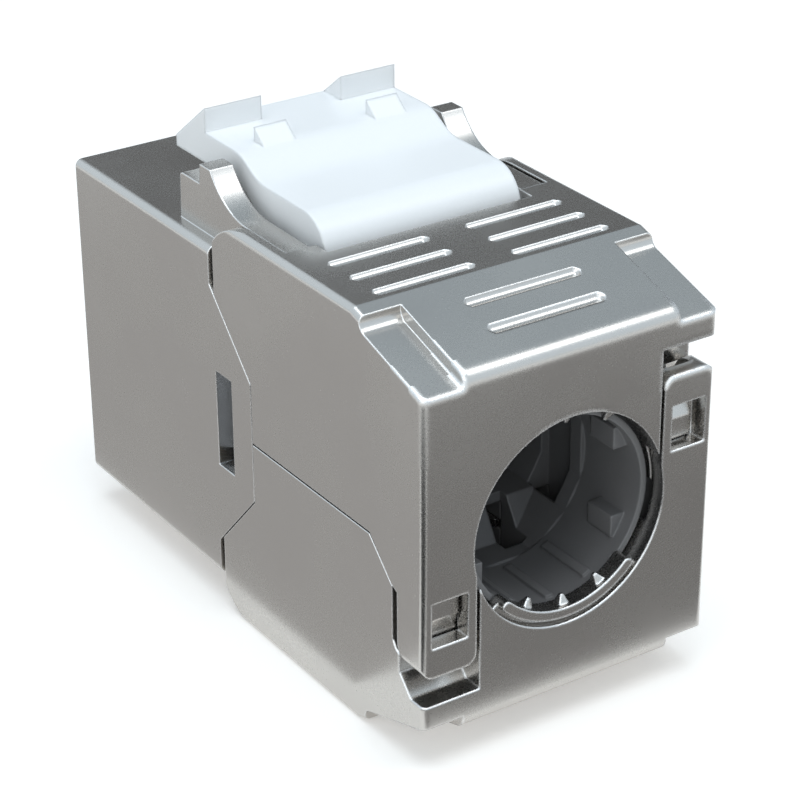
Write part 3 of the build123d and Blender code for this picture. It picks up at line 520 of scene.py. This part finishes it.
@dataclass(frozen=True)
class PhotoCamera:
    """The camera, where the photograph was taken from. Focal length and image are in pixels."""

    focal: float = 2622.18
    image: float = 800.0
    sensor: float = 36.0
    nearest: float = 0.002
    farthest: float = 10.0
    eye: Place = (0.05665, 0.08711, 0.06242)
    right: Place = (-0.831375, 0.555674, -0.006478)
    forward: Place = (-0.491794, -0.741128, -0.457021)

    def build(self) -> None:
        """Makes the camera and looks through it."""
        data = bpy.data.cameras.new("photo_camera")
        data.sensor_width = self.sensor
        data.lens = self.focal * self.sensor / self.image
        data.clip_start, data.clip_end = self.nearest, self.farthest
        right, forward = Vector(self.right), Vector(self.forward)
        turn = Matrix((right, right.cross(forward), -forward)).transposed().to_4x4()
        camera = put_in_scene("photo_camera", data)
        camera.matrix_world = Matrix.Translation(Vector(self.eye)) @ turn
        bpy.context.scene.camera = camera


@dataclass(frozen=True)
class Backdrop:
    """The world: white to the eye and in gloss, and dimmer as light on the jack."""

    level: float = 0.43
    seen_level: float = 1.0
    colour: Colour = (0.88, 1.0, 1.1)

    def build(self) -> None:
        """Makes the world."""
        world = bpy.data.worlds.new("soft_studio")
        bpy.context.scene.world = world
        world.use_nodes = True
        tree = world.node_tree
        shade = tree.nodes["Background"]
        shade.inputs["Color"].default_value = (*self.colour, 1.0)
        level = tree.nodes.new("ShaderNodeMapRange")
        level.inputs["To Min"].default_value = self.level
        level.inputs["To Max"].default_value = self.seen_level
        tree.links.new(seen_ray(tree), level.inputs["Value"])
        tree.links.new(level.outputs["Result"], shade.inputs["Strength"])


@dataclass(frozen=True)
class Floor:
    """The pale round floor, which keeps the jack's soft shadow."""

    radius: float = 1.5
    corner_count: int = 48
    drop: float = 0.00002
    colour: Colour = (0.89, 0.865, 0.83)
    roughness: float = 0.8
    glow: float = 0.28

    def build(self) -> None:
        """Makes the floor a hair below the jack."""
        turns = [math.tau * step / self.corner_count for step in range(self.corner_count)]
        corners = [(self.radius * math.cos(turn), self.radius * math.sin(turn), 0.0) for turn in turns]
        mesh = bpy.data.meshes.new("floor")
        mesh.from_pydata(corners, [], [tuple(range(self.corner_count))])
        floor = put_in_scene("floor", mesh)
        floor.location = (0.0, 0.0, -self.drop)
        material, shader = matt_material("pale_floor", self.colour, WHITE)
        shader.inputs["Roughness"].default_value = self.roughness
        tree = material.node_tree
        glow = math_node(tree, "MULTIPLY", seen_ray(tree), self.glow)
        tree.links.new(glow, shader.inputs["Emission Strength"])
        mesh.materials.append(material)


@dataclass(frozen=True)
class SoftBox:
    """A rectangular lamp that faces the jack. At level 1 it is about white."""

    name: str
    place: Place
    width: float
    height: float
    level: float
    colour: Colour

    def build(self) -> None:
        """Hangs the lamp."""
        data = bpy.data.lights.new(self.name, "AREA")
        data.shape = "RECTANGLE"
        data.size, data.size_y = self.width, self.height
        data.energy = self.level * math.pi * self.width * self.height
        data.color = self.colour
        lamp = put_in_scene(self.name, data)
        lamp.location = self.place
        lamp.rotation_euler = towards_jack(self.place, "-Z")


@dataclass(frozen=True)
class GlossCard:
    """A card that only shows in gloss, to shape the metal's reflections. Brightness 1 is white."""

    name: str
    place: Place
    width: float
    height: float
    brightness: float
    stance: Stance = Stance.FACING
    tint: Colour = WHITE

    def build(self) -> None:
        """Places the card."""
        across, along = self.width / 2, self.height / 2
        corners = [(-across, -along, 0), (across, -along, 0), (across, along, 0), (-across, along, 0)]
        mesh = bpy.data.meshes.new(self.name)
        mesh.from_pydata(corners, [], [(0, 1, 2, 3)])
        card = put_in_scene(self.name, mesh)
        card.location = self.place
        if self.stance is Stance.FACING:
            card.rotation_euler = towards_jack(self.place, "Z")
        material, shader = matt_material(self.name, BLACK, self.tint)
        shader.inputs["Emission Strength"].default_value = self.brightness
        mesh.materials.append(material)
        card.visible_camera = False
        card.visible_diffuse = False
        card.visible_shadow = False
        card.visible_transmission = False


@dataclass(frozen=True)
class Studio:
    """The camera, the backdrop, the floor, the lamps and the cards."""

    camera: PhotoCamera = PhotoCamera()
    backdrop: Backdrop = Backdrop()
    floor: Floor = Floor()
    lamps: tuple[SoftBox, ...] = (
        SoftBox("overhead_box", (0.03, 0.02, 0.34), 0.26, 0.26, 2.8, (0.9, 0.98, 1.05)),
        SoftBox("left_strip", (0.28, 0.12, 0.16), 0.1, 0.3, 1.6, (1.0, 0.99, 0.97)),
        SoftBox("edge_box", (-0.2, 0.14, 0.33), 0.15, 0.15, 3.0, WHITE),
        SoftBox("entry_box", (0.2, 0.36, 0.24), 0.2, 0.2, 1.3, (1.0, 0.99, 0.97)),
    )
    cards: tuple[GlossCard, ...] = (
        GlossCard("far_card", (-0.2, -0.31, 0.15), 0.42, 0.2, 0.14),
        GlossCard("slope_card", (-0.19, -0.1, 0.33), 0.34, 0.34, 0.51, tint=(0.84, 0.99, 1.1)),
        GlossCard("side_card", (0.026, -0.026, 0.0008), 0.036, 0.068, 0.5, Stance.LEVEL),
        GlossCard("rear_card", (-0.015, 0.036, 0.0008), 0.05, 0.04, 0.265, Stance.LEVEL),
        GlossCard("corner_card", (0.026, 0.027, 0.0008), 0.028, 0.028, 0.02, Stance.LEVEL),
    )

    def build(self) -> None:
        """Sets up the whole studio."""
        bpy.context.scene.view_settings.view_transform = "Standard"
        for item in (self.camera, self.backdrop, self.floor, *self.lamps, *self.cards):
            item.build()
        LOG.info("studio with %d lamps and %d cards", len(self.lamps), len(self.cards))


def main() -> None:
    """Builds the studio and dresses every piece of the jack, in order."""
    logging.basicConfig(level=logging.INFO, format="%(name)s: %(message)s")
    Studio().build()
    groups = Groups.build()
    dressed = sum(sub_assembly.dress(groups) for sub_assembly in SUB_ASSEMBLIES)
    LOG.info("%d pieces dressed", dressed)


if __name__ == "__main__":
    main()
